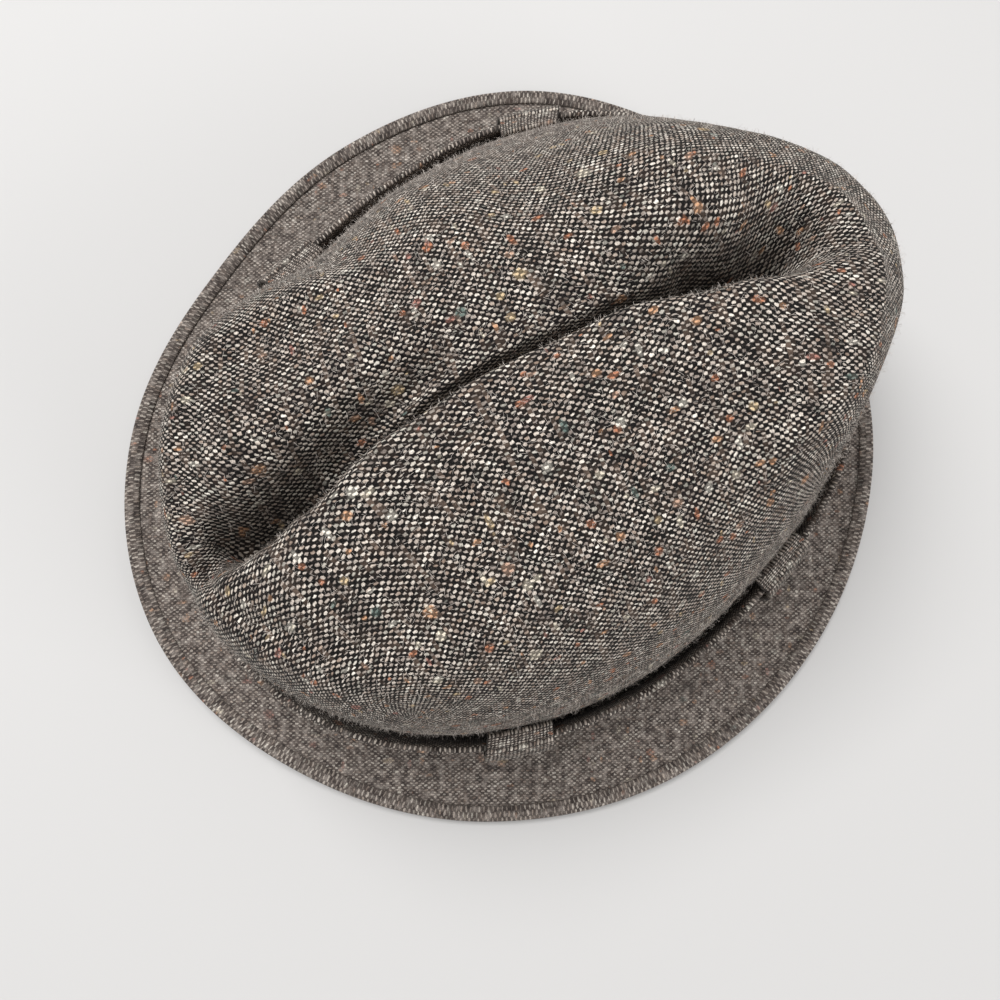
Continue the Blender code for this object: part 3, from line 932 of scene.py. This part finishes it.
loop_material = tweed_material("Tweed loops", LOOP_CONTRAST, LOOP_YARN, LOOP_YARN)
for loop_name, loop_angle in LOOPS:
    strap = build_loop(loop_name, loop_angle, loop_material)
    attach(strap, "root")
    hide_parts(loop_name)


# Fuzz
# Short loose wool fibres that stand off the crown all over, as on any brushed tweed.
# They show as a thin pale haze along its edge and lie across the weave elsewhere.

FIBRES = 24000
FIBRE_LENGTH = 0.0021
FIBRE_WIDTH = 0.00007
FIBRE_CURL = 2.4
FIBRE_TAPER = 0.6
FUZZ_SEED = 5


def scattered(count, chance):
    """Random places on the crown's outer face and the outward direction at each."""
    mesh = crown.data
    corners = np.array([tuple(polygon.vertices) for polygon in mesh.polygons])
    points = np.zeros(len(mesh.vertices) * 3)
    mesh.vertices.foreach_get("co", points)
    points = points.reshape(-1, 3)[corners]
    normals = np.array([tuple(polygon.normal) for polygon in mesh.polygons])
    areas = np.array([polygon.area for polygon in mesh.polygons])
    chosen = chance.choice(len(areas), count, p=areas / areas.sum())
    u, v = chance.random((2, count, 1))
    first = points[chosen, 0] * (1 - u) + points[chosen, 1] * u
    second = points[chosen, 3] * (1 - u) + points[chosen, 2] * u
    return first * (1 - v) + second * v, normals[chosen]


def build_fuzz():
    chance = np.random.default_rng(FUZZ_SEED)
    roots, out = scattered(FIBRES, chance)
    sideways = np.cross(out, chance.normal(size=out.shape))
    sideways /= np.linalg.norm(sideways, axis=1, keepdims=True)
    width_way = np.cross(out, sideways) * FIBRE_WIDTH / 2
    length = FIBRE_LENGTH * chance.uniform(0.35, 1.0, (FIBRES, 1))
    rise = length * chance.uniform(0.10, 0.80, (FIBRES, 1))
    bend = length * chance.uniform(-0.5, 0.5, (FIBRES, 1))
    other_way = np.cross(out, sideways)
    points = []
    for share in (0.0, 0.33, 0.67, 1.0):
        middle = roots + sideways * length * share + out * rise * math.sin(FIBRE_CURL * share)
        middle = middle + other_way * bend * share * share
        narrow = 1 - FIBRE_TAPER * share
        points += [middle - width_way * narrow, middle + width_way * narrow]
    points = np.stack(points, axis=1).reshape(-1, 3)
    faces = []
    for fibre in range(FIBRES):
        start = fibre * 8
        faces += [(start + k, start + k + 1, start + k + 3, start + k + 2) for k in (0, 2, 4)]
    material = bpy.data.materials.new("Loose wool")
    material.use_nodes = True
    shader = material.node_tree.nodes["Principled BSDF"]
    shader.inputs["Base Color"].default_value = (0.60, 0.54, 0.49, 1.0)
    shader.inputs["Roughness"].default_value = 1.0
    shader.inputs["Specular IOR Level"].default_value = 0.1
    return mesh_object("wool_fuzz", points, faces, material)


fuzz = build_fuzz()
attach(fuzz, "root")


# Floor, light and camera
# A plain pale floor in soft light from above, seen from almost straight above the hat.

FLOOR_HALF = 3.0
FLOOR_COLOR = (0.58, 0.572, 0.565, 1.0)
ROOM_LIGHT = 0.53
LENS_MM = 34.56
SENSOR_MM = 36.0
CAMERA_PLACE = (-0.04707, 0.04050, 0.320)
CAMERA_RIGHT = (-0.4633, -0.8853, 0.0392)
CAMERA_BACK = (-0.1009, 0.0966, 0.9902)

floor_corners = [(-FLOOR_HALF, -FLOOR_HALF, 0), (FLOOR_HALF, -FLOOR_HALF, 0)]
floor_corners += [(FLOOR_HALF, FLOOR_HALF, 0), (-FLOOR_HALF, FLOOR_HALF, 0)]
floor_mesh = bpy.data.meshes.new("floor")
floor_mesh.from_pydata(floor_corners, [], [(0, 1, 2, 3)])
floor = bpy.data.objects.new("floor", floor_mesh)
bpy.context.collection.objects.link(floor)
floor_material = bpy.data.materials.new("Floor")
floor_material.use_nodes = True
floor_shader = floor_material.node_tree.nodes["Principled BSDF"]
floor_shader.inputs["Base Color"].default_value = FLOOR_COLOR
floor_shader.inputs["Roughness"].default_value = 0.8
floor_mesh.materials.append(floor_material)

scene = bpy.context.scene
world = bpy.data.worlds.new("Soft room")
world.use_nodes = True
world.node_tree.nodes["Background"].inputs["Color"].default_value = (1.0, 1.0, 1.0, 1.0)
world.node_tree.nodes["Background"].inputs["Strength"].default_value = ROOM_LIGHT
scene.world = world
scene.view_settings.view_transform = "Standard"


def soft_light(name, place, size, power):
    """A square lamp that faces the hat."""
    light = bpy.data.lights.new(name, "AREA")
    light.size = size
    light.energy = power
    lamp = bpy.data.objects.new(name, light)
    lamp.location = place
    lamp.rotation_mode = "QUATERNION"
    lamp.rotation_quaternion = (-Vector(place)).to_track_quat("-Z", "Y")
    bpy.context.collection.objects.link(lamp)


soft_light("Window", (0.53, 0.14, 1.15), 0.65, 14.6)
soft_light("Far wall", (-1.25, -0.72, 0.72), 1.00, 9.5)

camera_data = bpy.data.cameras.new("Camera")
camera_data.lens = LENS_MM
camera_data.sensor_width = SENSOR_MM
camera_data.clip_start = 0.01
camera = bpy.data.objects.new("Camera", camera_data)
camera_back = Vector(CAMERA_BACK).normalized()
camera_up = camera_back.cross(Vector(CAMERA_RIGHT).normalized()).normalized()
camera_right = camera_up.cross(camera_back)
aim = Matrix((camera_right, camera_up, camera_back)).transposed().to_4x4()
camera.matrix_world = Matrix.Translation(CAMERA_PLACE) @ aim
bpy.context.collection.objects.link(camera)
scene.camera = camera
